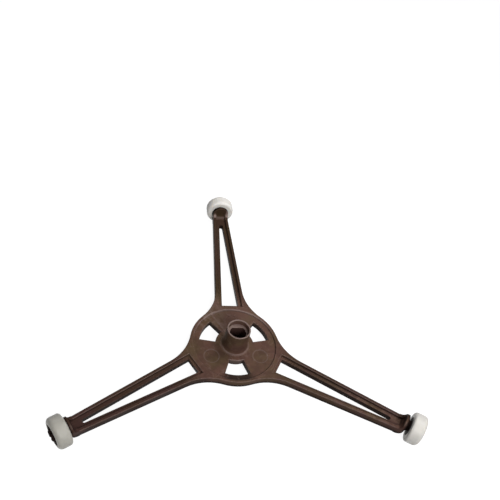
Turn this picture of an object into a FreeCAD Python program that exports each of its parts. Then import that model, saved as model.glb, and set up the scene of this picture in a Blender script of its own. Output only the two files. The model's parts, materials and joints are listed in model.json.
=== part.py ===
import FreeCAD, Part
import Sketcher
import math
import os

# Three-armed roller support of a microwave turntable: one moulded frame and three rollers.
# The frame lies flat with its drive boss up. Each arm is drawn along +Y and repeated about Z.
# While it is drawn, z = 0 is the top of the arms' ribs; the origin is then the centre of the boss mouth.

ARMS = 3
FULL_TURN = 360.0
RIGHT_ANGLE = 90.0

# Lengths and slopes that differ by less than this count as equal.
SAME = 1e-4

# Driving sizes in millimetres, and degrees where the meaning says so.
SIZES = (
    ("recess_radius", 17.2, "radius of the shallow round recess in the hub"),
    ("recess_depth", 0.65, "depth of that recess"),
    ("hub_rim", 1.5, "width of the hub's rim round the recess, between the arms"),
    ("flare_radius", 20.0, "radius of the flares from the hub into the arms"),
    ("arm_thickness", 3.6, "height of the hub rim and of the arm ribs"),
    ("arm_root_width", 15.0, "width of an arm's taper carried on to the hub axis"),
    ("arm_tip_width", 7.0, "width of an arm's turned-up end"),
    ("arm_reach", 75.2, "hub axis to the outer face of the turned-up end"),
    ("rib_width", 1.4, "width of the rib along each side of an arm"),
    ("ledge_width", 1.4, "width of the ledge between a rib and the slot"),
    ("ledge_depth", 1.1, "depth of the ledge below the rib tops"),
    ("ledge_margin", 0.9, "width of the ledge at the hub end of the slot"),
    ("slot_web", 3.1, "width of the web between the recess and the slot"),
    ("slot_end", 69.2, "hub axis to the round tip of the slot"),
    ("window_inner", 8.1, "inner radius of the hub windows"),
    ("window_margin", 2.4, "distance from a hub window to the recess wall"),
    ("window_angle", 41.0, "angle of one hub window, degrees"),
    ("mark_distance", 11.7, "hub axis to an ejector mark"),
    ("mark_diameter", 6.0, "diameter of an ejector mark"),
    ("mark_depth", 0.15, "depth of an ejector mark"),
    ("boss_rise", 10.15, "height of the boss mouth above the rib tops"),
    ("boss_wall", 0.65, "wall of the boss at its mouth"),
    ("boss_draft", 0.35, "how much wider the boss is at its foot, in radius"),
    ("boss_fillet", 1.0, "radius of the fillet round the boss foot"),
    ("boss_lip", 0.2, "bevel of the boss mouth, inside and out"),
    ("mouth_diameter", 8.4, "diameter of the round lead-in of the socket"),
    ("mouth_depth", 2.6, "depth of the round lead-in"),
    ("socket_diameter", 6.7, "diameter of the D-shaped drive socket"),
    ("socket_flat", 2.5, "hub axis to the flat of the socket"),
    ("socket_depth", 8.8, "depth of the D below the lead-in"),
    ("flange_thickness", 1.1, "thickness of the turned-up flange"),
    ("flange_rise", 4.5, "height of the flange's round top above the rib tops"),
    ("heel_radius", 2.2, "inside radius where the arm turns up into the flange"),
    ("end_round", 2.8, "outside radius under the turned-up end"),
    ("edge_bevel", 0.25, "bevel along the edges of the plate, the trough, the recess and the windows"),
    ("axle_rise", 3.6, "height of the axles above the arms' underside"),
    ("axle_diameter", 4.4, "diameter of an axle stub"),
    ("axle_clearance", 0.08, "radial clearance of a roller on its axle"),
    ("head_diameter", 5.9, "diameter of the snap head"),
    ("head_land", 0.5, "straight length of the snap head behind its cone"),
    ("head_length", 1.4, "whole length of the snap head"),
    ("head_tip_diameter", 4.0, "diameter of the snap head at its tip"),
    ("split_width", 1.2, "width of the split through the snap head"),
    ("split_length", 4.6, "length of the split from the tip"),
    ("roller_diameter", 12.6, "diameter of a roller"),
    ("roller_width", 5.5, "width of a roller"),
    ("roller_round", 1.6, "edge radius of a roller"),
    ("well_diameter", 7.8, "diameter of the well for the head in a roller's outer face"),
    ("well_depth", 2.15, "depth of that well"),
    ("roller_gap", 0.15, "least gap between a roller and the flange"),
    ("roller_play", 1.5, "end play of a roller on its axle"),
    ("top_slide", 0.7, "how far the roller on the top arm has slid out"),
    ("left_slide", 0.05, "how far the roller on the left arm has slid out"),
    ("right_slide", 1.35, "how far the roller on the right arm has slid out"),
)

# Each roller's name and the size that says how far out it sits, anticlockwise from the arm along +Y.
ROLLERS = (
    ("roller_top", "top_slide"),
    ("roller_left", "left_slide"),
    ("roller_right", "right_slide"),
)


def fill_sheet(doc):
    """Put the driving sizes into an aliased spreadsheet."""
    sheet = doc.addObject("Spreadsheet::Sheet", "Sizes")
    for row, (alias, value, meaning) in enumerate(SIZES, start=1):
        sheet.set(f"A{row}", meaning)
        sheet.set(f"B{row}", str(value))
        sheet.setAlias(f"B{row}", alias)
    doc.recompute()
    return sheet


def origin_feature(body, role):
    """Find one of the body's own origin planes or axes."""
    return next(item for item in body.Origin.OriginFeatures if item.Role == role)


def new_sketch(body, name, plane, lift=None, raise_by=None):
    """Start a sketch on an origin plane, lifted along its normal or raised along its own y."""
    sketch = body.newObject("Sketcher::SketchObject", name)
    sketch.AttachmentSupport = [(origin_feature(body, plane), "")]
    sketch.MapMode = "FlatFace"
    if lift:
        sketch.setExpression("AttachmentOffset.Base.z", lift)
    if raise_by:
        sketch.setExpression("AttachmentOffset.Base.y", raise_by)
    return sketch


def bind(sketch, name, constraint, expression):
    """Add a dimension to a sketch and tie it to the sheet."""
    index = sketch.addConstraint(constraint)
    sketch.renameConstraint(index, name)
    sketch.setExpression(f"Constraints.{name}", expression)


def bind_place(sketch, name, geometry, end, letter, expression):
    """Tie a point's x or y to an expression; a plain 0 puts it on the axis."""
    kind, axis = {"x": ("DistanceX", -2), "y": ("DistanceY", -1)}[letter]
    if expression == "0":
        sketch.addConstraint(Sketcher.Constraint("PointOnObject", geometry, end, axis))
        return
    value = float(sketch.evalExpression(expression))
    constraint = Sketcher.Constraint(kind, -1, 1, geometry, end, value)
    bind(sketch, f"{name}_{letter}", constraint, expression)


def bind_point(sketch, name, geometry, end, place):
    """Tie both coordinates of a point to expressions."""
    for letter, expression in zip("xy", place):
        bind_place(sketch, name, geometry, end, letter, expression)


def draw_circle(sketch, centre, radius):
    """Draw one circle; its centre and radius are expressions."""
    x, y, r = (float(sketch.evalExpression(text)) for text in (*centre, radius))
    circle = Part.Circle(FreeCAD.Vector(x, y, 0), FreeCAD.Vector(0, 0, 1), r)
    index = sketch.addGeometry(circle, False)
    bind_point(sketch, "centre", index, 3, centre)
    bind(sketch, "radius", Sketcher.Constraint("Radius", index, r), radius)


def draw_profile(sketch, corners, arcs=None):
    """Draw a closed profile through corners given as pairs of expressions.

    arcs maps the number of a side to its centre and its turn: 1 goes anticlockwise.
    """
    arcs = arcs or {}
    points = [
        FreeCAD.Vector(*(float(sketch.evalExpression(text)) for text in corner), 0)
        for corner in corners
    ]
    ends = []
    for side, start in enumerate(points):
        stop = points[(side + 1) % len(points)]
        if side not in arcs:
            index = sketch.addGeometry(Part.LineSegment(start, stop), False)
            ends.append((index, 1, 2))
            continue
        centre_text, turn = arcs[side]
        centre = FreeCAD.Vector(*(float(sketch.evalExpression(text)) for text in centre_text), 0)
        first, last = (start, stop) if turn > 0 else (stop, start)
        angles = [math.atan2(point.y - centre.y, point.x - centre.x) for point in (first, last)]
        if angles[1] <= angles[0]:
            angles[1] += 2 * math.pi
        circle = Part.Circle(centre, FreeCAD.Vector(0, 0, 1), centre.distanceToPoint(start))
        index = sketch.addGeometry(Part.ArcOfCircle(circle, *angles), False)
        ends.append((index, 1, 2) if turn > 0 else (index, 2, 1))
        bind_place(sketch, f"arc{side}", index, 3, "y", centre_text[1])
    for side, (index, start_end, _) in enumerate(ends):
        before, _, stop_end = ends[side - 1]
        sketch.addConstraint(Sketcher.Constraint("Coincident", before, stop_end, index, start_end))
        bind_point(sketch, f"corner{side}", index, start_end, corners[side])


def add_pad(body, sketch, length, downwards=False, symmetric=False):
    """Pad a sketch; the length is an expression."""
    pad = body.newObject("PartDesign::Pad", sketch.Name + "_pad")
    pad.Profile = sketch
    pad.Reversed = downwards
    if symmetric:
        pad.SideType = "Symmetric"
    pad.setExpression("Length", length)
    return pad


def add_pocket(body, sketch, depth=None, symmetric=False):
    """Cut a sketch into the body, down by an expression or right through."""
    pocket = body.newObject("PartDesign::Pocket", sketch.Name + "_cut")
    pocket.Profile = sketch
    if symmetric:
        pocket.SideType = "Symmetric"
    if depth:
        pocket.setExpression("Length", depth)
    else:
        pocket.Type = "ThroughAll"
    return pocket


def add_turned(body, sketch, axis, cut=False):
    """Turn a sketch about one of its own axes, as a solid or as a cut."""
    kind, ending = ("Groove", "_groove") if cut else ("Revolution", "_turn")
    turned = body.newObject("PartDesign::" + kind, sketch.Name + ending)
    turned.Profile = sketch
    turned.ReferenceAxis = (sketch, [axis])
    turned.Angle = FULL_TURN
    return turned


def repeat_round(body, name, features):
    """Repeat features for each arm about the hub axis."""
    pattern = body.newObject("PartDesign::PolarPattern", name)
    pattern.Originals = features
    pattern.Axis = (origin_feature(body, "Z_Axis"), [""])
    pattern.Angle = FULL_TURN
    pattern.Occurrences = ARMS
    body.Tip = pattern
    return pattern


def half_width_at(distance):
    """Half the arm's width at a distance from the hub axis, as an expression."""
    taper = f"(Sizes.arm_root_width - Sizes.arm_tip_width) * ({distance}) / ({HEEL_START})"
    return f"(Sizes.arm_root_width - {taper}) / 2"


def trapezoid(near, far, near_half, far_half):
    """Corners of a tapered strip along +Y."""
    return (
        (f"-({near_half})", near),
        (near_half, near),
        (far_half, far),
        (f"-({far_half})", far),
    )


HUB_RADIUS = "Sizes.recess_radius + Sizes.hub_rim"
SLOT_START = "Sizes.recess_radius + Sizes.slot_web"
FLANGE_INNER = "Sizes.arm_reach - Sizes.flange_thickness"
HEEL_START = f"{FLANGE_INNER} - Sizes.heel_radius"
PLATE_END = f"{HEEL_START} + 3 * Sizes.edge_bevel"
AXLE_HEIGHT = "Sizes.axle_rise - Sizes.arm_thickness"
HEAD_START = (
    "Sizes.arm_reach + Sizes.roller_gap + Sizes.roller_width - Sizes.well_depth + Sizes.roller_play"
)
HEAD_TIP = f"{HEAD_START} + Sizes.head_length"


def draw_hub_disc(body):
    """The disc that the arms grow from."""
    sketch = new_sketch(body, "hub_disc", "XY_Plane")
    draw_circle(sketch, ("0", "0"), HUB_RADIUS)
    add_pad(body, sketch, "Sizes.arm_thickness", downwards=True)


def draw_arm_plate(body):
    """One tapered arm, as thick as the hub rim; its bevelled tip is buried in the turned-up end."""
    sketch = new_sketch(body, "arm_plate", "XY_Plane")
    corners = trapezoid("0", PLATE_END, half_width_at("0"), half_width_at(PLATE_END))
    draw_profile(sketch, corners)
    return add_pad(body, sketch, "Sizes.arm_thickness", downwards=True)


def draw_end(body):
    """The arm's end, bent up into an upright flange: hollow inside, round outside."""
    sketch = new_sketch(body, "arm_end", "YZ_Plane")
    top = "Sizes.flange_rise + Sizes.flange_thickness"
    corners = (
        (HEEL_START, "-Sizes.arm_thickness"),
        ("Sizes.arm_reach - Sizes.end_round", "-Sizes.arm_thickness"),
        ("Sizes.arm_reach", "Sizes.end_round - Sizes.arm_thickness"),
        ("Sizes.arm_reach", top),
        (FLANGE_INNER, top),
        (FLANGE_INNER, "Sizes.heel_radius"),
        (HEEL_START, "0"),
    )
    round_centre = ("Sizes.arm_reach - Sizes.end_round", "Sizes.end_round - Sizes.arm_thickness")
    heel_centre = (HEEL_START, "Sizes.heel_radius")
    arcs = {
        1: (round_centre, 1),
        5: (heel_centre, -1),
    }
    draw_profile(sketch, corners, arcs)
    return add_pad(body, sketch, "Sizes.arm_tip_width", symmetric=True)


def cut_arch(body):
    """Trim the flange to a round top."""
    sketch = new_sketch(body, "arch", "XZ_Plane", lift=f"-({HEEL_START})")
    half = "Sizes.arm_tip_width / 2"
    spring = f"Sizes.flange_rise - {half}"
    beside = f"{half} + Sizes.flange_thickness"
    above = "Sizes.flange_rise + 2 * Sizes.flange_thickness"
    corners = (
        (f"-({beside})", spring),
        (f"-{half}", spring),
        (half, spring),
        (beside, spring),
        (beside, above),
        (f"-({beside})", above),
    )
    draw_profile(sketch, corners, {1: (("0", spring), -1)})
    return add_pocket(body, sketch, "Sizes.heel_radius + Sizes.flange_thickness")


def cut_scoop(body):
    """Carry the trough between the ribs round the bend and up the flange."""
    sketch = new_sketch(body, "scoop", "YZ_Plane")
    heel_top = "Sizes.heel_radius - Sizes.ledge_depth"
    corners = (
        (HEEL_START, "-Sizes.ledge_depth"),
        (FLANGE_INNER, heel_top),
        (FLANGE_INNER, "Sizes.flange_rise"),
        (HEEL_START, "Sizes.flange_rise"),
    )
    draw_profile(sketch, corners, {0: ((HEEL_START, heel_top), 1)})
    return add_pocket(body, sketch, "Sizes.arm_tip_width - 2 * Sizes.rib_width", symmetric=True)


def cut_ledge(body):
    """The shallow trough between an arm's ribs."""
    sketch = new_sketch(body, "ledge", "XY_Plane")
    near = f"{SLOT_START} - Sizes.ledge_margin"
    near_half = f"{half_width_at(near)} - Sizes.rib_width"
    far_half = f"{half_width_at(HEEL_START)} - Sizes.rib_width"
    draw_profile(sketch, trapezoid(near, HEEL_START, near_half, far_half))
    return add_pocket(body, sketch, "Sizes.ledge_depth")


def cut_slot(body):
    """The long tapered slot through the floor of the trough, with a round tip."""
    sketch = new_sketch(body, "arm_slot", "XY_Plane")
    side = "Sizes.rib_width - Sizes.ledge_width"
    near_half = f"{half_width_at(SLOT_START)} - {side}"
    tip_half = f"({half_width_at('Sizes.slot_end')} - {side})"
    far = f"Sizes.slot_end - {tip_half}"
    corners = trapezoid(SLOT_START, far, near_half, tip_half)
    draw_profile(sketch, corners, {2: (("0", far), 1)})
    return add_pocket(body, sketch)


def draw_axle(body):
    """The axle stub and its conical snap head, turned about the axle's own line."""
    sketch = new_sketch(body, "axle", "YZ_Plane", raise_by=AXLE_HEIGHT)
    root = "Sizes.arm_reach - Sizes.flange_thickness / 2"
    land_end = f"{HEAD_START} + Sizes.head_land"
    corners = (
        (root, "0"),
        (HEAD_TIP, "0"),
        (HEAD_TIP, "Sizes.head_tip_diameter / 2"),
        (land_end, "Sizes.head_diameter / 2"),
        (HEAD_START, "Sizes.head_diameter / 2"),
        (HEAD_START, "Sizes.axle_diameter / 2"),
        (root, "Sizes.axle_diameter / 2"),
    )
    draw_profile(sketch, corners)
    return add_turned(body, sketch, "H_Axis")


def cut_split(body):
    """The upright split that lets the snap head close as the roller is pushed on."""
    sketch = new_sketch(body, "split", "XY_Plane", lift=AXLE_HEIGHT)
    half = "Sizes.split_width / 2"
    near = f"{HEAD_TIP} - Sizes.split_length"
    far = f"{HEAD_TIP} + Sizes.split_width"
    draw_profile(sketch, trapezoid(near, far, half, half))
    return add_pocket(body, sketch, "Sizes.head_diameter + Sizes.split_width", symmetric=True)


def dress_edges(body, name, kind, size, wanted):
    """Fillet or bevel the edges that a test picks out of the body so far; the size is an expression."""
    FreeCAD.ActiveDocument.recompute()
    base = body.Tip
    names = [
        f"Edge{number}"
        for number, edge in enumerate(base.Shape.Edges, start=1)
        if wanted(edge, base.Shape)
    ]
    dressing = body.newObject("PartDesign::" + kind, name)
    dressing.Base = (base, names)
    dressing.setExpression({"Fillet": "Radius", "Chamfer": "Size"}[kind], size)
    body.Tip = dressing


def is_level(shape):
    """Whether an edge or a face lies level."""
    return shape.BoundBox.ZLength < SAME


def is_wall(face):
    """Whether a face stands straight up."""
    first_u, last_u, first_v, last_v = face.ParameterRange
    normal = face.normalAt((first_u + last_u) / 2, (first_v + last_v) / 2)
    return abs(normal.z) < SAME


def round_flares(body):
    """Blend each arm's sides into the hub disc."""
    hub_radius = float(body.Tip.evalExpression(HUB_RADIUS))

    def at_hub(edge, _):
        box = edge.BoundBox
        upright = max(box.XLength, box.YLength) < SAME
        return upright and abs(math.hypot(box.XMax, box.YMax) - hub_radius) < SAME

    dress_edges(body, "flares", "Fillet", "Sizes.flare_radius", at_hub)


def bevel_plate(body):
    """Ease the outline of the hub and the arms, above and below."""
    dress_edges(body, "plate_bevel", "Chamfer", "Sizes.edge_bevel", lambda edge, _: is_level(edge))


def bevel_cut(body, name, height):
    """Ease the edges where a level face at a height, given as an expression, drops into a cut."""
    top = float(body.Tip.evalExpression(height))

    def at_rim(edge, shape):
        if not is_level(edge) or abs(edge.BoundBox.ZMax - top) > SAME:
            return False
        faces = shape.ancestorsOfType(edge, Part.Face)
        walls = [face for face in faces if is_wall(face) and face.BoundBox.ZMax < top + SAME]
        return len(walls) == 1 and any(is_level(face) for face in faces)

    dress_edges(body, name, "Chamfer", "Sizes.edge_bevel", at_rim)


def cut_recess(body):
    """The shallow round recess in the hub."""
    sketch = new_sketch(body, "recess", "XY_Plane")
    draw_circle(sketch, ("0", "0"), "Sizes.recess_radius")
    add_pocket(body, sketch, "Sizes.recess_depth")


def cut_windows(body):
    """The windows through the hub, one between each two arms."""
    sketch = new_sketch(body, "window", "XY_Plane")
    outer = "(Sizes.recess_radius - Sizes.window_margin)"
    across = "sin(Sizes.window_angle / 2)"
    along = "cos(Sizes.window_angle / 2)"
    corners = (
        (f"-Sizes.window_inner * {across}", f"-Sizes.window_inner * {along}"),
        (f"-{outer} * {across}", f"-{outer} * {along}"),
        (f"{outer} * {across}", f"-{outer} * {along}"),
        (f"Sizes.window_inner * {across}", f"-Sizes.window_inner * {along}"),
    )
    arcs = {
        1: (("0", "0"), 1),
        3: (("0", "0"), -1),
    }
    draw_profile(sketch, corners, arcs)
    repeat_round(body, "windows", [add_pocket(body, sketch)])


def cut_marks(body):
    """The shallow marks that the ejector pins leave in line with the arms."""
    sketch = new_sketch(body, "ejector_mark", "XY_Plane", lift="-Sizes.recess_depth")
    draw_circle(sketch, ("0", "Sizes.mark_distance"), "Sizes.mark_diameter / 2")
    repeat_round(body, "ejector_marks", [add_pocket(body, sketch, "Sizes.mark_depth")])


def draw_boss(body):
    """The drafted boss with its foot fillet and bevelled lip."""
    sketch = new_sketch(body, "boss", "XZ_Plane")
    mouth = "Sizes.mouth_diameter / 2 + Sizes.boss_wall"
    foot = f"{mouth} + Sizes.boss_draft"
    floor = "-Sizes.recess_depth"
    corners = (
        ("0", "-Sizes.arm_thickness / 2"),
        (f"{foot} + Sizes.boss_fillet", "-Sizes.arm_thickness / 2"),
        (f"{foot} + Sizes.boss_fillet", floor),
        (foot, f"{floor} + Sizes.boss_fillet"),
        (mouth, "Sizes.boss_rise - Sizes.boss_lip"),
        (f"{mouth} - Sizes.boss_lip", "Sizes.boss_rise"),
        ("0", "Sizes.boss_rise"),
    )
    foot_centre = (f"{foot} + Sizes.boss_fillet", f"{floor} + Sizes.boss_fillet")
    draw_profile(sketch, corners, {2: (foot_centre, -1)})
    add_turned(body, sketch, "V_Axis")


def cut_socket(body):
    """The drive socket: a round lead-in with a bevelled edge, then the D."""
    lead_in = new_sketch(body, "lead_in", "XZ_Plane")
    half = "Sizes.mouth_diameter / 2"
    shelf = "Sizes.boss_rise - Sizes.mouth_depth"
    corners = (
        ("0", shelf),
        (half, shelf),
        (half, "Sizes.boss_rise - Sizes.boss_lip"),
        (f"{half} + Sizes.boss_lip", "Sizes.boss_rise"),
        ("0", "Sizes.boss_rise"),
    )
    draw_profile(lead_in, corners)
    add_turned(body, lead_in, "V_Axis", cut=True)

    key = new_sketch(body, "drive_key", "XY_Plane", lift=shelf)
    radius = "Sizes.socket_diameter / 2"
    chord = f"sqrt(({radius}) ^ 2 - Sizes.socket_flat ^ 2)"
    corners = ((f"-{chord}", "Sizes.socket_flat"), (chord, "Sizes.socket_flat"))
    draw_profile(key, corners, {0: (("0", "0"), 1)})
    add_pocket(body, key, "Sizes.socket_depth")


def make_frame(doc):
    """The whole moulded frame."""
    body = doc.addObject("PartDesign::Body", "frame")
    body.Label = "frame"
    draw_hub_disc(body)
    repeat_round(body, "arm_plates", [draw_arm_plate(body)])
    round_flares(body)
    bevel_plate(body)
    repeat_round(body, "troughs", [cut_ledge(body)])
    cut_recess(body)
    bevel_cut(body, "rib_bevel", "0")
    arm_end = [
        cut_slot(body),
        draw_end(body),
        cut_arch(body),
        cut_scoop(body),
        draw_axle(body),
        cut_split(body),
    ]
    repeat_round(body, "arm_ends", arm_end)
    cut_windows(body)
    bevel_cut(body, "window_bevel", "-Sizes.recess_depth")
    cut_marks(body)
    draw_boss(body)
    cut_socket(body)
    body.setExpression("Placement.Base.z", "-Sizes.boss_rise")
    return body


def round_corner():
    """Points round a roller's outer corner, as offsets out of the shoulder and in from the face.

    Two straight bands stand for the round: from the face to half the turn, and on to the tread.
    """
    return [
        (f"Sizes.roller_round * sin({angle})", f"Sizes.roller_round * (1 - cos({angle}))")
        for angle in (0, RIGHT_ANGLE / 2, RIGHT_ANGLE)
    ]


def make_roller(doc, name, turn, slide):
    """One roller, turned about its own axle line and set on its arm."""
    body = doc.addObject("PartDesign::Body", name)
    body.Label = name
    sketch = new_sketch(body, name + "_section", "XY_Plane")
    bore = "Sizes.axle_diameter / 2 + Sizes.axle_clearance"
    rim = "Sizes.roller_diameter / 2"
    well = "Sizes.well_diameter / 2"
    well_floor = "Sizes.roller_width - Sizes.well_depth"
    shoulder = f"{rim} - Sizes.roller_round"
    corner = round_corner()
    near_corner = [(f"{shoulder} + {out}", depth) for out, depth in corner]
    far_corner = [(out, f"Sizes.roller_width - {depth}") for out, depth in reversed(near_corner)]
    corners = (
        (bore, "0"),
        *near_corner,
        *far_corner,
        (well, "Sizes.roller_width"),
        (well, well_floor),
        (bore, well_floor),
    )
    draw_profile(sketch, corners)
    add_turned(body, sketch, "V_Axis")
    body.Placement = FreeCAD.Placement(
        FreeCAD.Vector(0, 0, 0), FreeCAD.Rotation(FreeCAD.Vector(0, 0, 1), turn)
    )
    out = f"(Sizes.arm_reach + Sizes.roller_gap + Sizes.{slide})"
    body.setExpression("Placement.Base.x", f"-{out} * sin({turn})")
    body.setExpression("Placement.Base.y", f"{out} * cos({turn})")
    body.setExpression("Placement.Base.z", f"{AXLE_HEIGHT} - Sizes.boss_rise")
    return body


def check(doc, bodies):
    """Stop if any object failed or any piece isn't one sound solid."""
    for item in doc.Objects:
        if "Invalid" in item.State or "Error" in item.State:
            raise RuntimeError(f"{item.Name} failed: {item.State}")
    for body in bodies:
        shape = body.Shape
        if shape.isNull() or not shape.isValid() or len(shape.Solids) != 1:
            raise RuntimeError(f"{body.Label} is not one sound solid")


def main():
    doc = FreeCAD.newDocument("roller_support")
    fill_sheet(doc)
    bodies = [make_frame(doc)]
    for number, (name, slide) in enumerate(ROLLERS):
        bodies.append(make_roller(doc, name, FULL_TURN * number / ARMS, slide))
    doc.recompute()
    check(doc, bodies)
    os.makedirs("parts", exist_ok=True)
    for body in bodies:
        body.Shape.exportStep(f"parts/{body.Label}.step")
        print(body.Label, "volume", round(body.Shape.Volume, 2), "mm3")


main()
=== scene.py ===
import json
import math
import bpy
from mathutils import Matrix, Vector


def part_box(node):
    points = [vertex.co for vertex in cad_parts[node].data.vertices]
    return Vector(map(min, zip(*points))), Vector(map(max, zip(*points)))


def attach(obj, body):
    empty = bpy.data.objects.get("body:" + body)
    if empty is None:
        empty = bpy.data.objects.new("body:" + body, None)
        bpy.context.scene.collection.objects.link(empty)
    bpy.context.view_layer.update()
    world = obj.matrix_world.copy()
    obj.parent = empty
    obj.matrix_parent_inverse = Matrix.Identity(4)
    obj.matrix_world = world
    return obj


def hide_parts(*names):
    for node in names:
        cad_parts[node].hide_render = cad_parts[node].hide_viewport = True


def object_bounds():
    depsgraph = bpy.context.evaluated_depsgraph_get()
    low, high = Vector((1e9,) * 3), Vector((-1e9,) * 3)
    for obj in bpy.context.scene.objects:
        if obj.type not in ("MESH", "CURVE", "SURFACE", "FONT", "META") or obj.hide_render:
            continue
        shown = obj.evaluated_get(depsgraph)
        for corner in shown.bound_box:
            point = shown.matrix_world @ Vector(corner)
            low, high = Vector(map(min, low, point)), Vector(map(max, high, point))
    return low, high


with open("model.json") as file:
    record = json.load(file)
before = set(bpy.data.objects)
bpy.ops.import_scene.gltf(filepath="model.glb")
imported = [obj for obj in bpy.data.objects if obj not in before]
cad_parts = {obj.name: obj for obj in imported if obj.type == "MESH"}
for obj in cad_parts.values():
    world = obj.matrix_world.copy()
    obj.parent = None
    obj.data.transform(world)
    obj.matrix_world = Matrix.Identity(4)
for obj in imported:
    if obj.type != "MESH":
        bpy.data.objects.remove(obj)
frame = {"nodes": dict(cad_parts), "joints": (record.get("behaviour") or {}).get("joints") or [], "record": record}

from types import SimpleNamespace

import bmesh
import bpy
from bpy.props import FloatProperty, FloatVectorProperty, IntProperty, PointerProperty
from mathutils import Vector

bl_info = {
    "name": "Turntable Roller Support",
    "version": (1, 0, 0),
    "blender": (4, 5, 0),
    "location": "3D View > Sidebar > Roller Support",
    "description": "Dresses a three-armed turntable roller support: brown frame, off-white rollers, studio",
    "category": "Object",
}

MM = 0.001
CAD_BOX = [list(corner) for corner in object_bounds()]
FRAME_NODE = "frame"
ROLLERS = ("roller_top", "roller_left", "roller_right")
ROLLER_LOW, ROLLER_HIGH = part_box("roller_top")
SPINS = [next(joint for joint in frame["joints"] if joint["child"] == roller) for roller in ROLLERS]

# Heights that the frame's plastic is painted by: the hub's floor, and just above the ledges and underside.
HUB_FLOOR = -10.8 * MM
LEDGES = -11.0 * MM
UNDERSIDE = -13.2 * MM

# The socket's round mouth, and the seat at its bottom that a shaft's shoulder rubs.
MOUTH = next(mount["dims"] for mount in frame["record"]["mounts"] if mount["name"] == "socket_mouth")
MOUTH_RADIUS = MOUTH["r_mm"] * MM
SEAT = -MOUTH["length_mm"] * MM

# Where the top arm's turned-up end has painted glints, at both sides of its fold.
GLINT_CORNERS = (Vector((-2.8, 73.3, 0.0)) * MM, Vector((3.0, 73.7, 0.0)) * MM)

# Direction square to the right arm, to its nearer side.
RIGHT_ARM_FRONT = (-math.sin(math.radians(30.0)), -math.cos(math.radians(30.0)), 0.0)

# How fine the plastics' random clouds are, per metre; the streaks' are per unit of heading.
PATCH_SCALE = 110.0
SCRATCH_SCALE = 170.0
MOTTLE_SCALE = 330.0
GRAIN_SCALE = 2600.0
STREAK_SCALE = 9.0
ROLLER_PATCH_SCALE = 260.0
ROLLER_RING_SCALE = 2800.0
ROLLER_GRAIN_SCALE = 3500.0

# Joining the frame's loose triangles: points this close are one point, faces this level are one face.
WELD = 0.001 * MM
LEVEL = math.radians(0.3)

# How far upwards the normals of the bevelled edges point.
SLOPE = math.sqrt(0.5)

# An outward edge that an inward edge leaves at less than this angle has no room for easing.
PINCH = math.radians(30)

# Material slot that the faces of the eased edges have until they are noted.
EASED_FACES = 1


class Wire:
    """A node socket that Python sums can use; each sum adds its Math node to the same tree."""

    def __init__(self, tree, socket=None):
        self.tree = tree
        self.socket = socket

    def node(self, kind, output=0, settings=None, sockets=None):
        """Add a node of any type: its settings first, then its sockets' values or links. Gives one output."""
        made = self.tree.nodes.new(kind)
        for name, value in (settings or {}).items():
            setattr(made, name, value)
        for key, value in (sockets or {}).items():
            self.plug(made, key, value)
        if output is None:
            return None
        usable = [socket for socket in made.outputs if socket.enabled]
        chosen = usable[output] if isinstance(output, int) else made.outputs[output]
        return Wire(self.tree, chosen)

    def plug(self, made, key, value):
        """Set one input of a node, found by its place or its name, to a value or a link."""
        usable = [socket for socket in made.inputs if socket.enabled]
        target = usable[key] if isinstance(key, int) else next(s for s in usable if s.name == key)
        if isinstance(value, Wire):
            self.tree.links.new(value.socket, target)
        else:
            target.default_value = value

    def math(self, operation, *values):
        """A Math node on this socket and the values given."""
        inputs = dict(enumerate(values))
        return self.node("ShaderNodeMath", settings={"operation": operation}, sockets=inputs)

    def mix(self, factor, first, second):
        """A blend of two colours."""
        sockets = {"Factor": factor, "A": first, "B": second}
        return self.node("ShaderNodeMix", settings={"data_type": "RGBA"}, sockets=sockets)

    def __add__(self, other):
        return self.math("ADD", self, other)

    def __radd__(self, other):
        return self.math("ADD", other, self)

    def __sub__(self, other):
        return self.math("SUBTRACT", self, other)

    def __rsub__(self, other):
        return self.math("SUBTRACT", other, self)

    def __mul__(self, other):
        return self.math("MULTIPLY", self, other)

    def __rmul__(self, other):
        return self.math("MULTIPLY", other, self)


def opaque(colour):
    """A colour with full alpha, as colour sockets take it."""
    return (*colour, 1.0)


def new_material(name):
    """A node material with an empty tree."""
    material = bpy.data.materials.new(name)
    material.use_nodes = True
    material.node_tree.nodes.clear()
    return material


def show(paint, shader):
    """End a material's tree in its output."""
    paint.node("ShaderNodeOutputMaterial", None, sockets={"Surface": shader})


def noise(paint, place, scale, detail, roughness=0.5):
    """Soft random cloud, from 0 to 1, of a size given by its scale per metre."""
    sockets = {"Vector": place, "Scale": scale, "Detail": detail, "Roughness": roughness}
    return paint.node("ShaderNodeTexNoise", "Fac", sockets=sockets)


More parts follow.
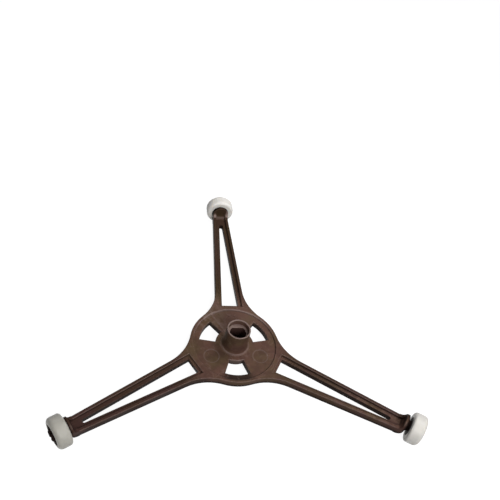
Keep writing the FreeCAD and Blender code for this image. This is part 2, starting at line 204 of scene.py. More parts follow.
class FrameSettings(bpy.types.PropertyGroup):
    """Finish of the moulded frame."""

    crease: FloatProperty(
        name="Crease",
        description="Faces that meet at a sharper angle than this have an edge between them",
        default=math.radians(32),
        subtype="ANGLE",
    )
    edge_ease: FloatProperty(
        name="Edge Easing",
        description="How far the moulding's outward edges are rounded off",
        default=0.05 * MM,
        unit="LENGTH",
    )
    colour: FloatVectorProperty(
        name="Plastic",
        description="Main colour of the brown plastic",
        default=(0.060, 0.031, 0.026),
        size=3,
        min=0.0,
        max=1.0,
        subtype="COLOR",
    )
    tint: FloatVectorProperty(
        name="Olive Patches",
        description="Colour that the brown plastic drifts to in soft patches",
        default=(0.054, 0.033, 0.018),
        size=3,
        min=0.0,
        max=1.0,
        subtype="COLOR",
    )
    rubbed: FloatVectorProperty(
        name="Lighter Plastic",
        description="Lighter colour of the hub, and of the right arm's strips of painted light",
        default=(0.118, 0.061, 0.045),
        size=3,
        min=0.0,
        max=1.0,
        subtype="COLOR",
    )
    rubbed_tint: FloatVectorProperty(
        name="Rubbed Olive Patches",
        description="Colour that the rubbed plastic drifts to in soft patches",
        default=(0.104, 0.066, 0.038),
        size=3,
        min=0.0,
        max=1.0,
        subtype="COLOR",
    )
    # Painted highlights along edges, on the lip, the rims and the boss's foot take this colour, as do the worn
    # seat and the hub's scratches.
    scuffed: FloatVectorProperty(
        name="Highlight and Scuff Plastic",
        description="Palest colour, along edges and on the lip and the seat of the socket",
        default=(0.25, 0.182, 0.162),
        size=3,
        min=0.0,
        max=1.0,
        subtype="COLOR",
    )
    # Painted shade: the colour that the low walls, the outer faces of the turned-up ends and the axles with their
    # heads are darkened to.
    deep: FloatVectorProperty(
        name="Shade Plastic",
        description="Painted shade: dark colour of the low walls, the arms' outer ends and the axles",
        default=(0.015, 0.009, 0.0075),
        size=3,
        min=0.0,
        max=1.0,
        subtype="COLOR",
    )
    hub_radius: FloatProperty(
        name="Hub Radius",
        description="How far the lighter hub reaches from the axis",
        default=17.2 * MM,
        unit="LENGTH",
    )
    boss_foot: FloatProperty(
        name="Boss Foot",
        description="From the axis to the rounding at the boss's foot",
        default=5.7 * MM,
        unit="LENGTH",
    )
    window_inner: FloatProperty(
        name="Window Inner Radius",
        description="From the axis to the inner wall of each window in the hub",
        default=8.1 * MM,
        unit="LENGTH",
    )
    fan_heading: FloatProperty(
        name="Sheen Fan",
        description="Heading, from the axis, of the sheen streaks painted beside the boss",
        default=math.radians(126),
        subtype="ANGLE",
    )
    arm_reach: FloatProperty(
        name="Arm Reach",
        description="From the axis to the outer face of each arm's turned-up end",
        default=75.2 * MM,
        unit="LENGTH",
    )
    mark_distance: FloatProperty(
        name="Mark Distance",
        description="From the axis to the middle of each ejector mark",
        default=11.7 * MM,
        unit="LENGTH",
    )
    mark_diameter: FloatProperty(
        name="Mark Diameter",
        description="Across each ejector mark",
        default=6.0 * MM,
        unit="LENGTH",
    )


class RollerSettings(bpy.types.PropertyGroup):
    """Sizes and finish of the rollers."""

    diameter: FloatProperty(
        name="Diameter",
        description="Across the tread",
        default=ROLLER_HIGH.x - ROLLER_LOW.x,
        unit="LENGTH",
    )
    width: FloatProperty(
        name="Width",
        description="From the inner face to the outer face",
        default=ROLLER_HIGH.y - ROLLER_LOW.y,
        unit="LENGTH",
    )
    outer_round: FloatProperty(
        name="Outer Rounding",
        description="Radius between the tread and the outer face",
        default=1.75 * MM,
        unit="LENGTH",
    )
    inner_round: FloatProperty(
        name="Inner Rounding",
        description="Radius between the tread and the inner face",
        default=1.1 * MM,
        unit="LENGTH",
    )
    bore: FloatProperty(
        name="Bore",
        description="Diameter of the hole for the axle",
        default=4.56 * MM,
        unit="LENGTH",
    )
    well: FloatProperty(
        name="Well",
        description="Diameter of the sunk place for the axle's snap head",
        default=7.8 * MM,
        unit="LENGTH",
    )
    well_depth: FloatProperty(
        name="Well Depth",
        description="Depth of the sunk place in the outer face",
        default=2.15 * MM,
        unit="LENGTH",
    )
    rim_round: FloatProperty(
        name="Rim Rounding",
        description="Radius at the rims of the bore and the well",
        default=0.2 * MM,
        unit="LENGTH",
    )
    steps_around: IntProperty(
        name="Steps Around",
        description="Flat steps in one full turn of the roller",
        default=128,
        min=24,
    )
    steps_in_edge: IntProperty(
        name="Steps in Edge",
        description="Flat steps across one rounded edge",
        default=8,
        min=2,
    )
    colour: FloatVectorProperty(
        name="Plastic",
        description="Main colour of the off-white plastic",
        default=(0.9, 0.87, 0.825),
        size=3,
        min=0.0,
        max=1.0,
        subtype="COLOR",
    )
    worn: FloatVectorProperty(
        name="Worn Tread",
        description="Greyer colour of the rubbed rings on the tread",
        default=(0.78, 0.755, 0.705),
        size=3,
        min=0.0,
        max=1.0,
        subtype="COLOR",
    )
    # Painted shade: the grey that a roller turns to where it is shaded in paint.
    soil: FloatVectorProperty(
        name="Shade Grey",
        description="Colour that a soiled roller turns to",
        default=(0.40, 0.385, 0.335),
        size=3,
        min=0.0,
        max=1.0,
        subtype="COLOR",
    )
    # Dirt and painted shade round the axle take this colour.
    grime: FloatVectorProperty(
        name="Grime and Shade",
        description="Colour of the dirt and painted shade round the axle",
        default=(0.02, 0.017, 0.015),
        size=3,
        min=0.0,
        max=1.0,
        subtype="COLOR",
    )
    # Painted shade: how far each roller is greyed, the left one most, and how far the dark round its axle reaches.
    soiling: FloatVectorProperty(
        name="Soiling",
        description="How soiled the top, the left and the right roller are",
        default=(0.0, 0.83, 0.2),
        size=3,
        min=0.0,
        max=1.0,
    )


class StageSettings(bpy.types.PropertyGroup):
    """Floor, light and camera."""

    floor_size: FloatProperty(
        name="Floor Size",
        description="Side of the square floor",
        default=6.0,
        unit="LENGTH",
    )
    floor_colour: FloatVectorProperty(
        name="Floor",
        description="Colour of the floor under the lamps",
        default=(0.20, 0.20, 0.20),
        size=3,
        min=0.0,
        max=1.0,
        subtype="COLOR",
    )
    floor_glow: FloatVectorProperty(
        name="Floor Paleness",
        description="What is added to the floor where the camera sees it",
        default=(0.94, 0.94, 0.94),
        size=3,
        min=0.0,
        max=1.0,
        subtype="COLOR",
    )
    air_colour: FloatVectorProperty(
        name="Surroundings",
        description="Even light from all around",
        default=(0.12, 0.12, 0.123),
        size=3,
        min=0.0,
        max=1.0,
        subtype="COLOR",
    )
    camera_place: FloatVectorProperty(
        name="Camera Place",
        description="Where the camera stands",
        default=(-46.888 * MM, -135.919 * MM, 191.073 * MM),
        size=3,
        subtype="TRANSLATION",
        unit="LENGTH",
    )
    camera_turn: FloatVectorProperty(
        name="Camera Turn",
        description="Tilt, roll and heading of the camera",
        default=(math.radians(35.665), math.radians(-8.518), math.radians(-4.869)),
        size=3,
        subtype="EULER",
    )
    lens: FloatProperty(
        name="Lens",
        description="Focal length for a sensor 36 mm wide",
        default=43.08,
        unit="CAMERA",
    )
    shift: FloatVectorProperty(
        name="Shift",
        description="How far the frame is shifted, as a share of its width",
        default=(0.0542, 0.1583),
        size=2,
    )


class SupportSettings(bpy.types.PropertyGroup):
    """All the settings of the roller support."""

    frame: PointerProperty(type=FrameSettings)
    roller: PointerProperty(type=RollerSettings)
    stage: PointerProperty(type=StageSettings)


def link(obj):
    """Put an object in the scene."""
    bpy.context.scene.collection.objects.link(obj)
    return obj


def bake_modifiers(context, piece):
    """Turn what a piece's modifiers give into its own plain mesh, and remove them."""
    context.view_layer.update()
    seen = piece.evaluated_get(context.evaluated_depsgraph_get())
    mesh = bpy.data.meshes.new_from_object(seen)
    piece.modifiers.clear()
    piece.data = mesh
    if not mesh.polygons:
        raise RuntimeError(f"{piece.name} came out empty")


def ramp(paint, value, low, high):
    """A soft step from 0 at one value to 1 at another."""
    sockets = {"Value": value, "From Min": low, "From Max": high}
    return paint.node("ShaderNodeMapRange", "Result", {"interpolation_type": "SMOOTHSTEP"}, sockets)


def band(paint, value, centre, half_width):
    """1 near a value, fading to 0 half a width to each side of it."""
    return 1.0 - ramp(paint, paint.math("ABSOLUTE", value - centre), 0.4 * half_width, half_width)


def vector_sum(paint, operation, *values, output=0):
    """A Vector Math node on places or directions."""
    return paint.node("ShaderNodeVectorMath", output, {"operation": operation}, dict(enumerate(values)))


def along_axis(paint, vector, axis):
    """How far a vector goes along X, Y or Z."""
    return paint.node("ShaderNodeSeparateXYZ", axis, sockets={"Vector": vector})


def noted(paint, name):
    """A number that the mesh carries under this name."""
    return paint.node("ShaderNodeAttribute", "Fac", {"attribute_name": name})


def frame_places(paint):
    """Where a point of the frame lies, and which way its face points."""
    place = paint.node("ShaderNodeTexCoord", "Object")
    flat = vector_sum(paint, "MULTIPLY", place, (1.0, 1.0, 0.0))
    heading = vector_sum(paint, "NORMALIZE", flat)
    return SimpleNamespace(
        place=place,
        flat=flat,
        heading=heading,
        sideways=along_axis(paint, place, "X"),
        height=along_axis(paint, place, "Z"),
        from_axis=vector_sum(paint, "LENGTH", flat, output="Value"),
        facing=along_axis(paint, heading, "Y"),
        upward=noted(paint, "upward"),
        forward=noted(paint, "forward"),
        eased=noted(paint, "eased"),
    )


def plastic_clouds(paint, at):
    """Soft patches, mottling, grain, streaks out from the axis and fine scratches."""
    mottle = ramp(paint, noise(paint, at.place, MOTTLE_SCALE, 4.0, 0.6), 0.3, 0.7)
    return SimpleNamespace(
        patches=ramp(paint, noise(paint, at.place, PATCH_SCALE, 3.0), 0.35, 0.65),
        mottle=mottle,
        grain=noise(paint, at.place, GRAIN_SCALE, 2.0),
        streaks=ramp(paint, noise(paint, at.heading, STREAK_SCALE, 4.0, 0.65), 0.3, 0.7),
        scratches=band(paint, noise(paint, at.place, SCRATCH_SCALE, 2.0), 0.5, 0.014) * mottle,
    )


def frame_regions(paint, at, settings):
    """Masks for the parts of the frame that are painted in their own way."""
    near_side = 1.0 - ramp(paint, at.facing, -0.98, -0.88)
    past_arm = ramp(paint, at.from_axis, settings.arm_reach - 0.9 * MM, settings.arm_reach)
    # 1 above the ledges and short of the arms' outer ends; lower and further out, the plastic is painted in shade.
    handled = ramp(paint, at.height, UNDERSIDE, LEDGES) * (1.0 - past_arm)
    in_mouth = 1.0 - ramp(paint, at.from_axis, MOUTH_RADIUS, MOUTH_RADIUS + 0.2 * MM)
    in_socket = in_mouth * (1.0 - ramp(paint, at.height, SEAT - 0.5 * MM, SEAT - 0.1 * MM))
    in_hub = 1.0 - ramp(paint, at.from_axis, settings.hub_radius, 1.8 * settings.hub_radius)
    at_end = ramp(paint, at.from_axis, settings.arm_reach - 6.0 * MM, settings.arm_reach - 5.0 * MM)
    return SimpleNamespace(
        far_side=ramp(paint, at.facing, 0.2, 0.9),
        near_side=near_side,
        past_arm=past_arm,
        at_end=at_end,
        handled=handled,
        in_mouth=in_mouth,
        in_socket=in_socket,
        in_hub=in_hub,
        hub=in_hub * handled * (1.0 - in_socket),
        upright=1.0 - ramp(paint, paint.math("ABSOLUTE", at.upward), 0.15, 0.45),
        sloped=band(paint, at.upward, SLOPE, 0.25) * handled,
        to_front=ramp(paint, at.forward, 0.0, 0.5),
        # Dirt and painted shade in the recess along the front of the hub's rim.
        grime=band(paint, at.from_axis, settings.hub_radius - 0.9 * MM, 2.4 * MM) * near_side,
    )


def right_arm_masks(paint, at, region, settings):
    """The right arm's nearer bar, its strips painted lighter as light from the right would leave them, and the
    painted shadow inside its turned-up end.
    """
    outer_part = ramp(paint, at.sideways, settings.hub_radius, 0.8 * settings.arm_reach)
    nearer = vector_sum(paint, "DOT_PRODUCT", at.place, RIGHT_ARM_FRONT, output="Value")
    near_bar = ramp(paint, nearer, 0.0, 1.0 * MM) * ramp(paint, at.sideways, 0.0, settings.hub_radius)
    ledge = 1.0 - ramp(paint, at.height, LEDGES + 0.2 * MM, LEDGES + 0.5 * MM)
    strips = near_bar * (1.0 - ledge) + (1.0 - near_bar) * ledge
    # Painted light: the nearer bar's top and the other bar's ledge lighten towards the arm's end, as light from
    # the right would.
    lit_strips = outer_part * ramp(paint, at.upward, 0.75, 0.95) * region.handled * strips
    # Painted shadow: the inside of the turned-up end, where it faces away from the front.
    in_end = region.upright * region.at_end * (1.0 - region.past_arm)
    return near_bar, lit_strips, in_end * outer_part * (1.0 - region.to_front)


def low_walls(paint, at, region, settings):
    """The upright walls of the arms and the windows, but not of the boss, the hub's rim and the ends: the walls
    that are painted in shade.
    """
    off_boss = ramp(paint, at.from_axis, settings.boss_foot + 0.8 * MM, settings.boss_foot + 1.6 * MM)
    off_rim = 1.0 - band(paint, at.from_axis, settings.hub_radius + 2.0 * MM, 2.4 * MM)
    return region.upright * off_boss * off_rim * (1.0 - region.at_end)


def mark_masks(paint, at, settings):
    """The ring round each ejector mark and the disc inside it, on the hub's floor only."""
    radius = 0.5 * settings.mark_diameter
    on_floor = ramp(paint, at.height, HUB_FLOOR - 0.6 * MM, HUB_FLOOR - 0.4 * MM)
    off_centre = 1.0
    for spin in SPINS:
        outwards = Vector((spin["axis"][0], spin["axis"][1], 0.0))
        centre = outwards * settings.mark_distance + Vector((0.0, 0.0, HUB_FLOOR))
        distance = vector_sum(paint, "DISTANCE", at.place, centre, output="Value")
        off_centre = paint.math("MINIMUM", distance, off_centre)
    inside = 1.0 - ramp(paint, off_centre, radius - 0.5 * MM, radius)
    ring = band(paint, off_centre, radius + 0.1 * MM, 0.35 * MM)
    return ring * on_floor, inside * on_floor


def hub_and_edge_scuffs(paint, at, cloud, region, settings):
    """How far the frame is painted in its palest colour: highlights painted on the lip, the boss's foot, the hub's
    rim (most on its far side), the step at the front window's inner wall, the bevels facing forward and the top
    arm's fold corners; sheen painted in streaks beside the boss and over the hub's far side; the seat, worn and
    painted lighter; and real scratches on the hub.
    """
    at_lip = ramp(paint, at.height, -0.5 * MM, -0.25 * MM)
    lip = at_lip * band(paint, at.from_axis, MOUTH_RADIUS + 0.3 * MM, 0.35 * MM)
    seat = band(paint, at.height, SEAT, 0.2 * MM) * region.in_mouth
    foot = band(paint, at.from_axis, settings.boss_foot, 0.6 * MM) * region.handled
    rim = band(paint, at.from_axis, settings.hub_radius + 0.25 * MM, 0.5 * MM) * region.handled
    above = ramp(paint, at.height, UNDERSIDE - 0.4 * MM, UNDERSIDE)
    step = band(paint, at.from_axis, settings.window_inner, 0.4 * MM) * region.near_side * above
    corners = 0.0
    for corner in GLINT_CORNERS:
        distance = vector_sum(paint, "DISTANCE", at.flat, corner, output="Value")
        corners = corners + (1.0 - ramp(paint, distance, 0.3 * MM, 0.9 * MM)) * region.handled
    # Painted sheen: streaks fanning out beside the boss, towards one heading.
    beside = (math.cos(settings.fan_heading), math.sin(settings.fan_heading), 0.0)
    fan = ramp(paint, vector_sum(paint, "DOT_PRODUCT", at.heading, beside, output="Value"), 0.9, 0.99)
    return (
        (0.3 * at.eased * region.handled + 0.25 * region.sloped) * region.to_front
        + 0.9 * lip
        + 0.75 * seat
        + 0.2 * foot
        + rim * (0.05 + 0.4 * region.far_side)
        + 0.35 * step
        + 0.8 * corners
        + 0.4 * fan * (cloud.streaks + cloud.mottle - 0.7) * region.hub
        + (0.07 * region.far_side + 0.22 * cloud.scratches) * region.hub
    )


def brown_plastic(settings):
    """Satin brown moulding plastic: soft patches, painted shade on the low walls, a lighter, scratched hub,
    painted light on the right arm, and painted highlights along edges.
    """
    material = new_material("satin_brown_plastic")
    paint = Wire(material.node_tree)
    at = frame_places(paint)
    cloud = plastic_clouds(paint, at)
    region = frame_regions(paint, at, settings)
    near_bar, lit_strips, painted_end_shadow = right_arm_masks(paint, at, region, settings)
    # The right arm's nearer bar is kept out of the walls' painted shade.
    walls = low_walls(paint, at, region, settings) * (1.0 - near_bar)
    ring, mark = mark_masks(paint, at, settings)

    # Painted shade: the low walls, the recess along the front of the hub's rim, the bevels that face away from the
    # front and the inside of the right arm's turned-up end are darkened; the rim's recess holds dirt as well.
    light_share = (
        (1.0 - 0.5 * walls)
        * (1.0 - 0.8 * region.grime)
        * (1.0 - 0.5 * region.sloped * (1.0 - region.to_front))
        * (1.0 - 0.85 * painted_end_shadow)
    )
    # Painted light: the hub is lightened in blotches, most in streaks on its far side where light falls; the right
    # arm's strips and nearer bar are lightened as light from the right would; the walls stay darker as painted
    # shade.
    blotches = (
        0.55
        + 0.55 * cloud.mottle
        + (0.35 * cloud.streaks + 0.05) * region.far_side
        + 0.4 * (cloud.grain - 0.5)
    )
    pale_amount = (
        region.hub * (blotches - 0.1 * mark) * (1.0 - 0.9 * region.grime) * (1.0 - 0.6 * walls)
        + (0.8 * lit_strips + 0.35 * near_bar * region.handled) * blotches * (1.0 - region.in_hub)
    )
    # Painted highlights and sheen in the palest colour, with the ejector marks' rims as burr and painted
    # highlight, the right arm's strips lit in paint, and real wear on the seat and the hub's scratches.
    highlights_and_scuffs = (
        hub_and_edge_scuffs(paint, at, cloud, region, settings)
        + 0.25 * ring * (1.0 - 0.8 * region.far_side)
        + 0.16 * lit_strips * cloud.mottle
    )
    olive = (0.55 * cloud.patches + 0.45 * region.far_side) * (1.0 - region.in_socket)
    below = ramp(paint, 0.0 - at.upward, 0.3, 0.7) * (1.0 - region.past_arm)

    plastic = paint.mix(olive, opaque(settings.colour), opaque(settings.tint))
    # Painted shade: the plastic turns to the shade colour below the ledges, past the arms' ends and where it is
    # darkened above; faces that point down stay plain.
    moulded = paint.mix(region.handled * light_share + below, opaque(settings.deep), plastic)
    rubbed = paint.mix(cloud.patches, opaque(settings.rubbed), opaque(settings.rubbed_tint))
    worn = paint.mix(pale_amount, moulded, rubbed)
    colour = paint.mix(highlights_and_scuffs, worn, opaque(settings.scuffed))
    relief = paint.node(
        "ShaderNodeBump",
        sockets={"Strength": 0.22, "Distance": 0.03 * MM, "Height": cloud.grain},
    )
    shader = paint.node(
        "ShaderNodeBsdfPrincipled",
        sockets={
            "Base Color": colour,
            "Roughness": 0.36 + 0.12 * cloud.patches + 0.08 * cloud.grain + 0.4 * region.past_arm,
            "Specular IOR Level": 0.03,
            "Normal": relief,
        },
    )
    show(paint, shader)
    return material


def pinched(edge, crease):
    """Whether an inward edge leaves one end of this edge almost along it."""
    for vert in edge.verts:
        along = edge.other_vert(vert).co - vert.co
        for other in vert.link_edges:
            away = other.other_vert(vert).co - vert.co
            if other.calc_face_angle_signed() < -crease and along.angle(away) < PINCH:
                return True
    return False


def joined_shell(crease):
    """A copy of the frame's triangles, joined into whole faces, with its outward edges marked for easing."""
    shell = bmesh.new()
    shell.from_mesh(frame["nodes"][FRAME_NODE].data)
    bmesh.ops.remove_doubles(shell, verts=shell.verts, dist=WELD)
    bmesh.ops.dissolve_limit(shell, angle_limit=LEVEL, verts=shell.verts, edges=shell.edges)
    weight = shell.edges.layers.float.new("bevel_weight_edge")
    for edge in shell.edges:
        turn = edge.calc_face_angle_signed()
        edge[weight] = float(turn > crease and not pinched(edge, crease))
        edge.smooth = turn > -crease
    for face in shell.faces:
        face.smooth = True
    mesh = bpy.data.meshes.new("frame_moulding")
    shell.to_mesh(mesh)
    shell.free()
    mesh.materials.clear()
    for _ in range(EASED_FACES + 1):
        mesh.materials.append(None)
    return mesh


def note_faces(mesh):
    """Note for each face whether it eases an edge, and how far it points up and forward."""
    notes = {
        "eased": [float(face.material_index == EASED_FACES) for face in mesh.polygons],
        "upward": [face.normal.z for face in mesh.polygons],
        "forward": [-face.normal.y for face in mesh.polygons],
    }
    for name, values in notes.items():
        mesh.attributes.new(name, "FLOAT", "FACE").data.foreach_set("value", values)
    mesh.polygons.foreach_set("material_index", [0] * len(mesh.polygons))
    mesh.materials.clear()


class ROLLER_SUPPORT_OT_frame(bpy.types.Operator):
    """Dress the brown frame: its triangles joined, its curves smooth and its plastic painted"""

    bl_idname = "roller_support.frame"
    bl_label = "Frame"

    def execute(self, context):
        settings = context.scene.roller_support.frame
        piece = link(bpy.data.objects.new("frame_moulding", joined_shell(settings.crease)))
        easing = piece.modifiers.new("Eased Edges", "BEVEL")
        easing.limit_method = "WEIGHT"
        easing.width = settings.edge_ease
        easing.segments = 2
        easing.use_clamp_overlap = False
        easing.material = EASED_FACES
        evening = piece.modifiers.new("Even Flats", "WEIGHTED_NORMAL")
        evening.keep_sharp = True
        bake_modifiers(context, piece)
        note_faces(piece.data)
        piece.data.materials.append(brown_plastic(settings))
        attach(piece, FRAME_NODE)
        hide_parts(FRAME_NODE)
        return {"FINISHED"}


def off_white_plastic(settings):
    """Smooth off-white plastic with faintly rubbed rings round the tread, dirt and painted shade round the axle,
    and painted shade that greys each roller as far as it is given.
    """
    material = new_material("off_white_plastic")
    paint = Wire(material.node_tree)
    place = paint.node("ShaderNodeTexCoord", "Object")
    across = noted(paint, "across")
    from_axle = noted(paint, "from_axle")
    soiling = noted(paint, "soiling")
    patches = noise(paint, place, ROLLER_PATCH_SCALE, 3.0)
    grain = noise(paint, place, ROLLER_GRAIN_SCALE, 2.0)
    ring_place = paint.node("ShaderNodeCombineXYZ", sockets={"X": across, "Y": 0.05 * patches * MM})
    rings = noise(paint, ring_place, ROLLER_RING_SCALE, 3.0)
    rubbed = 0.5 * rings + 0.5 * patches
    edge_of_well = 0.5 * settings.well
    reach = edge_of_well + 0.2 * MM + 0.6 * MM * soiling
    # Dirt and painted shade round the axle, over the bore and the well, reaching further on rollers given more
    # painted shade.
    grime = 1.0 - ramp(paint, from_axle, edge_of_well - 0.2 * MM, reach)
    plastic = paint.mix(rubbed, opaque(settings.colour), opaque(settings.worn))
    # Painted shade: each roller greys as far as it is given.
    shaded = paint.mix(soiling * (0.75 + 0.5 * patches), plastic, opaque(settings.soil))
    colour = paint.mix(0.95 * grime, shaded, opaque(settings.grime))
    relief = paint.node(
        "ShaderNodeBump",
        sockets={"Strength": 0.12, "Distance": 0.02 * MM, "Height": 0.6 * rings + 0.4 * grain},
    )
    shader = paint.node(
        "ShaderNodeBsdfPrincipled",
        sockets={
            "Base Color": colour,
            "Roughness": 0.34 + 0.14 * rubbed + 0.4 * grime,
            "Specular IOR Level": 0.25,
            "Subsurface Weight": 0.3,
            "Subsurface Radius": (1.0, 0.92, 0.8),
            "Subsurface Scale": 1.0 * MM,
            "Normal": relief,
        },
    )
    show(paint, shader)
    return material


def by_index(wire, data_type, values):
    """A field that takes one value for each point in turn."""
    index = wire.node("GeometryNodeInputIndex")
    switch = wire.tree.nodes.new("GeometryNodeIndexSwitch")
    switch.data_type = data_type
    while len(switch.index_switch_items) < len(values):
        switch.index_switch_items.new()
    wire.plug(switch, "Index", index)
    for number, value in enumerate(values):
        wire.plug(switch, str(number), value)
    return Wire(wire.tree, switch.outputs[0])


ROLLER_INPUTS = (
    ("Diameter", "NodeSocketFloat"),
    ("Width", "NodeSocketFloat"),
    ("Outer Rounding", "NodeSocketFloat"),
    ("Inner Rounding", "NodeSocketFloat"),
    ("Bore", "NodeSocketFloat"),
    ("Well", "NodeSocketFloat"),
    ("Well Depth", "NodeSocketFloat"),
    ("Rim Rounding", "NodeSocketFloat"),
    ("Steps Around", "NodeSocketInt"),
    ("Steps in Edge", "NodeSocketInt"),
    ("Soiling", "NodeSocketFloat"),
    ("Turn", "NodeSocketFloat"),
    ("Place", "NodeSocketVector"),
    ("Plastic", "NodeSocketMaterial"),
)


def roller_tree():
    """Geometry nodes that turn the roller's rounded section round its axle and set it in its place."""
    tree = bpy.data.node_groups.new("turned_roller", "GeometryNodeTree")
    for name, kind in ROLLER_INPUTS:
        tree.interface.new_socket(name, in_out="INPUT", socket_type=kind)
    tree.interface.new_socket("Roller", in_out="OUTPUT", socket_type="NodeSocketGeometry")
    wire = Wire(tree)
    start = tree.nodes.new("NodeGroupInput")
    given = {name: Wire(tree, start.outputs[name]) for name, _ in ROLLER_INPUTS}

    outer = 0.5 * given["Width"]
    inner = -0.5 * given["Width"]
    ledge = outer - given["Well Depth"]
    tread = 0.5 * given["Diameter"]
    hole = 0.5 * given["Bore"]
    sunk = 0.5 * given["Well"]
    rim = given["Rim Rounding"]
    corners = (
        (hole, inner, rim),
        (tread, inner, given["Inner Rounding"]),
        (tread, outer, given["Outer Rounding"]),
        (sunk, outer, rim),
        (sunk, ledge, rim),
        (hole, ledge, rim),
    )
    points = [
        wire.node("ShaderNodeCombineXYZ", sockets={"X": radius - hole, "Y": along})
        for radius, along, _ in corners
    ]
    rounds = [rounding for _, _, rounding in corners]

    line = wire.node("GeometryNodeMeshLine", sockets={"Count": len(corners)})
    placed = wire.node(
        "GeometryNodeSetPosition",
        sockets={"Geometry": line, "Position": by_index(wire, "VECTOR", points)},
    )
    outline = wire.node("GeometryNodeMeshToCurve", sockets={"Mesh": placed})
    closed = wire.node("GeometryNodeSetSplineCyclic", sockets={"Geometry": outline, "Cyclic": True})
    section = wire.node(
        "GeometryNodeFilletCurve",
        settings={"mode": "POLY"},
        sockets={
            "Curve": closed,
            "Count": given["Steps in Edge"],
            "Radius": by_index(wire, "FLOAT", rounds),
            "Limit Radius": True,
        },
    )
    circle = wire.node(
        "GeometryNodeCurvePrimitiveCircle",
        sockets={"Resolution": given["Steps Around"], "Radius": hole},
    )
    path = wire.node("GeometryNodeSetCurveNormal", settings={"mode": "Z_UP"}, sockets={"Curve": circle})
    turned = wire.node("GeometryNodeCurveToMesh", sockets={"Curve": path, "Profile Curve": section})
    place = wire.node("GeometryNodeInputPosition")
    along = along_axis(wire, place, "Z")
    flat = vector_sum(wire, "MULTIPLY", place, (1.0, 1.0, 0.0))
    from_axle = vector_sum(wire, "LENGTH", flat, output="Value")
    # Across, distance from the axle and the roller's painted shade are stored for the plastic.
    marked = turned
    for name, value in (("across", along), ("from_axle", from_axle), ("soiling", given["Soiling"])):
        marked = wire.node(
            "GeometryNodeStoreNamedAttribute",
            settings={"data_type": "FLOAT", "domain": "POINT"},
            sockets={"Geometry": marked, "Name": name, "Value": value},
        )
    laid = wire.node(
        "GeometryNodeTransform",
        sockets={"Geometry": marked, "Rotation": (math.radians(90), 0.0, 0.0)},
    )
    heading = wire.node("ShaderNodeCombineXYZ", sockets={"Z": given["Turn"]})
    seated = wire.node(
        "GeometryNodeTransform",
        sockets={"Geometry": laid, "Rotation": heading, "Translation": given["Place"]},
    )
    smooth = wire.node("GeometryNodeSetShadeSmooth", sockets={"Geometry": seated, "Shade Smooth": True})
    real = wire.node("GeometryNodeRealizeInstances", sockets={"Geometry": smooth})
    painted = wire.node("GeometryNodeSetMaterial", sockets={"Geometry": real, "Material": given["Plastic"]})
    wire.node("NodeGroupOutput", None, sockets={"Roller": painted})
    return tree


def set_inputs(modifier, values):
    """Set a tree's named inputs on its modifier, by their identifiers."""
    for item in modifier.node_group.interface.items_tree:
        if item.in_out == "INPUT":
            modifier[item.identifier] = values[item.name]


class ROLLER_SUPPORT_OT_rollers(bpy.types.Operator):
    """Turn the three off-white rollers on their axles"""

    bl_idname = "roller_support.rollers"
    bl_label = "Rollers"

    def execute(self, context):
        settings = context.scene.roller_support.roller
        plastic = off_white_plastic(settings)
        tree = roller_tree()
        # Each roller takes its own amount of painted shade.
        for spin, soiling in zip(SPINS, settings.soiling):
            node = spin["child"]
            axis = Vector(spin["axis"])
            piece = link(bpy.data.objects.new(node + "_wheel", bpy.data.meshes.new(node + "_wheel")))
            modifier = piece.modifiers.new("Turned Roller", "NODES")
            modifier.node_group = tree
            set_inputs(modifier, {
                "Diameter": settings.diameter,
                "Width": settings.width,
                "Outer Rounding": settings.outer_round,
                "Inner Rounding": settings.inner_round,
                "Bore": settings.bore,
                "Well": settings.well,
                "Well Depth": settings.well_depth,
                "Rim Rounding": settings.rim_round,
                "Steps Around": settings.steps_around,
                "Steps in Edge": settings.steps_in_edge,
                "Soiling": soiling,
                "Turn": math.atan2(-axis.x, axis.y),
                "Place": spin["pos_m"],
                "Plastic": plastic,
            })
            bake_modifiers(context, piece)
            piece.data.set_sharp_from_angle(angle=context.scene.roller_support.frame.crease)
            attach(piece, node)
            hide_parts(node)
        return {"FINISHED"}


def unseen(paint):
    """1 for light that only falls on things, 0 for what the eye sees directly, reflected or through glass."""
    hidden = 1.0
    for ray in ("Is Camera Ray", "Is Glossy Ray", "Is Transmission Ray"):
        hidden = hidden * (1.0 - paint.node("ShaderNodeLightPath", ray))
    return hidden


def pale_floor(settings):
    """Plain pale floor: white to the camera, with the object's shadow, and dimmer to the object's sides."""
    material = new_material("pale_floor")
    paint = Wire(material.node_tree)
    glow = paint.mix(unseen(paint), opaque(settings.floor_glow), (0.0, 0.0, 0.0, 1.0))
    shader = paint.node(
        "ShaderNodeBsdfPrincipled",
        sockets={
            "Base Color": opaque(settings.floor_colour),
            "Roughness": 0.9,
            "Specular IOR Level": 0.0,
            "Emission Color": glow,
            "Emission Strength": 1.0,
        },
    )
    show(paint, shader)
    return material


def studio_air(settings):
    """World that is white to the eye and to reflections, and an even soft light on everything."""
    world = bpy.data.worlds.new("studio_air")
    world.use_nodes = True
    world.node_tree.nodes.clear()
    paint = Wire(world.node_tree)
    colour = paint.mix(unseen(paint), (1.0, 1.0, 1.0, 1.0), opaque(settings.air_colour))
    background = paint.node("ShaderNodeBackground", sockets={"Color": colour, "Strength": 1.0})
    paint.node("ShaderNodeOutputWorld", None, sockets={"Surface": background})
    return world


# Name, place in metres, side of the square in metres and power in watts of each lamp.
LAMPS = (
    ("key_lamp", (0.09, 0.05, 0.17), 0.12, 0.21),
    ("top_lamp", (0.05, 0.15, 0.95), 0.60, 0.7),
    ("front_lamp", (0.08, -0.55, 0.48), 0.30, 3.3),
)


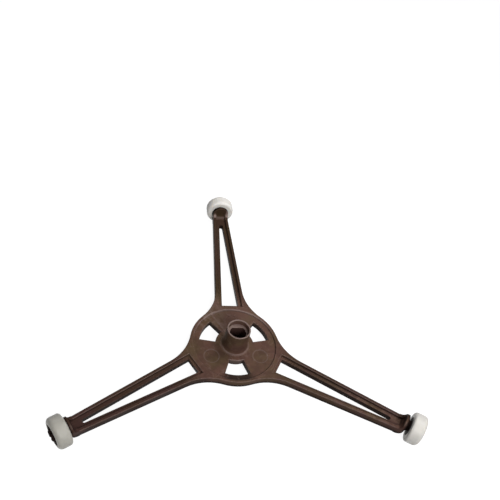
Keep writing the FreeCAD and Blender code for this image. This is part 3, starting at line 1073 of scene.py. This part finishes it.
class ROLLER_SUPPORT_OT_stage(bpy.types.Operator):
    """Lay the pale floor and set up the soft lamps and the camera"""

    bl_idname = "roller_support.stage"
    bl_label = "Stage"

    def execute(self, context):
        settings = context.scene.roller_support.stage
        self.lay_floor(settings)
        self.hang_lamps()
        self.place_camera(context.scene, settings)
        context.scene.world = studio_air(settings)
        context.scene.view_settings.view_transform = "Standard"
        return {"FINISHED"}

    def lay_floor(self, settings):
        """The floor, level with the lowest point of the rollers."""
        half = 0.5 * settings.floor_size
        level = CAD_BOX[0][2]
        mesh = bpy.data.meshes.new("floor")
        corners = [(-half, -half, level), (half, -half, level), (half, half, level), (-half, half, level)]
        mesh.from_pydata(corners, [], [(0, 1, 2, 3)])
        mesh.materials.append(pale_floor(settings))
        link(bpy.data.objects.new("floor", mesh))

    def hang_lamps(self):
        """The soft lamps, all aimed at the boss's mouth."""
        for name, place, side, power in LAMPS:
            lamp = bpy.data.lights.new(name, "AREA")
            lamp.size = side
            lamp.energy = power
            holder = link(bpy.data.objects.new(name, lamp))
            holder.visible_camera = False
            holder.location = place
            holder.rotation_euler = (-Vector(place)).to_track_quat("-Z", "Y").to_euler()

    def place_camera(self, scene, settings):
        """The camera, as the scene's own."""
        camera = bpy.data.cameras.new("camera")
        camera.lens = settings.lens
        camera.shift_x, camera.shift_y = settings.shift
        camera.clip_start = 10 * MM
        holder = link(bpy.data.objects.new("camera", camera))
        holder.location = settings.camera_place
        holder.rotation_euler = settings.camera_turn
        scene.camera = holder


class ROLLER_SUPPORT_PT_panel(bpy.types.Panel):
    """Lists the pieces of the roller support and their settings"""

    bl_idname = "ROLLER_SUPPORT_PT_panel"
    bl_label = "Roller Support"
    bl_space_type = "VIEW_3D"
    bl_region_type = "UI"
    bl_category = "Roller Support"

    def draw(self, context):
        """One box for each operator, with its settings below it."""
        settings = context.scene.roller_support
        for group, operator in zip((settings.frame, settings.roller, settings.stage), OPERATORS):
            box = self.layout.box()
            box.operator(operator.bl_idname)
            for name in group.__annotations__:
                box.prop(group, name)


OPERATORS = (ROLLER_SUPPORT_OT_frame, ROLLER_SUPPORT_OT_rollers, ROLLER_SUPPORT_OT_stage)
CLASSES = (FrameSettings, RollerSettings, StageSettings, SupportSettings, *OPERATORS, ROLLER_SUPPORT_PT_panel)


def register():
    """Add the settings, the operators and the panel to Blender."""
    for cls in CLASSES:
        bpy.utils.register_class(cls)
    bpy.types.Scene.roller_support = PointerProperty(type=SupportSettings)


def unregister():
    """Take them out again."""
    del bpy.types.Scene.roller_support
    for cls in reversed(CLASSES):
        bpy.utils.unregister_class(cls)


def main():
    """Make all the pieces and the stage."""
    register()
    bpy.ops.roller_support.frame()
    bpy.ops.roller_support.rollers()
    bpy.ops.roller_support.stage()


if __name__ == "__main__":
    main()
